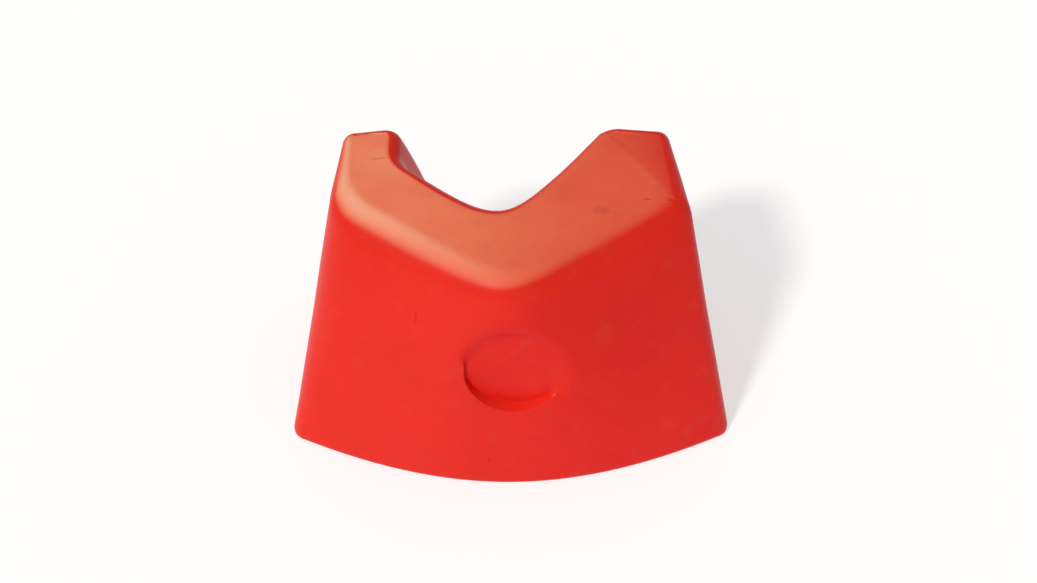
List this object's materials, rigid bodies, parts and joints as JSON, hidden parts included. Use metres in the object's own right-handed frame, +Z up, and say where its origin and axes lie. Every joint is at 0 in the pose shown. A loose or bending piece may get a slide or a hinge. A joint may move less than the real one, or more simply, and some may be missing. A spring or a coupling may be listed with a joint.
{
  "type": "water filled barrier",
  "caption": "Hollow moulded red barrier block with a blunt leaning nose, two arms round an open rear bay, a round front recess, a screwed filler and a recessed drain.",
  "frame": {"origin": "middle of the base on the ground, at the centre of the footprint", "axes": "+Z up, the nose with the round recess faces -Y, the arms and the bay face +Y, +X to the right seen from the front"},
  "size_m": [0.5926, 0.3483, 0.35],
  "materials": {
    "shell_red": "satin rotationally moulded polyethylene with a fine texture and light scuffs",
    "water": "clear water",
    "fitting_black": "satin injection moulded nylon",
    "seal_rubber": "matte rubber",
    "insert_brass": "turned brass, slightly dulled"
  },
  "bodies": {
    "tank": {"tank_shell": "shell_red", "water_ballast": "water", "filler_insert": "fitting_black", "drain_insert": "insert_brass", "vent_plug": "fitting_black"},
    "filler_seal": {"filler_gasket": "seal_rubber"},
    "filler_screw": {"filler_plug": "fitting_black"},
    "drain_seal": {"drain_oring": "seal_rubber"},
    "drain_screw": {"drain_plug": "fitting_black"}
  },
  "joints": [
    {"name": "filler_lift", "type": "slide", "parent": "tank", "child": "filler_seal", "axis": [0, 0.9962, 0.0872], "range_m": [0, 0.016]},
    {"name": "filler_turn", "type": "hinge", "parent": "filler_seal", "child": "filler_screw", "pos_m": [0.156, 0.15454, 0.26826], "axis": [0, 0.9962, 0.0872], "range_deg": [0, 1440]},
    {"name": "drain_lift", "type": "slide", "parent": "tank", "child": "drain_seal", "axis": [0, 0.9962, 0.0872], "range_m": [0, 0.01361]},
    {"name": "drain_turn", "type": "hinge", "parent": "drain_seal", "child": "drain_screw", "pos_m": [-0.165, 0.14906, 0.04408], "axis": [0, 0.9962, 0.0872], "range_deg": [0, 2700]}
  ],
  "couplings": [
    {"joint": "filler_lift", "follows": "filler_turn", "m_per_rad": 0.00063662},
    {"joint": "drain_lift", "follows": "drain_turn", "m_per_rad": 0.00028871}
  ]
}
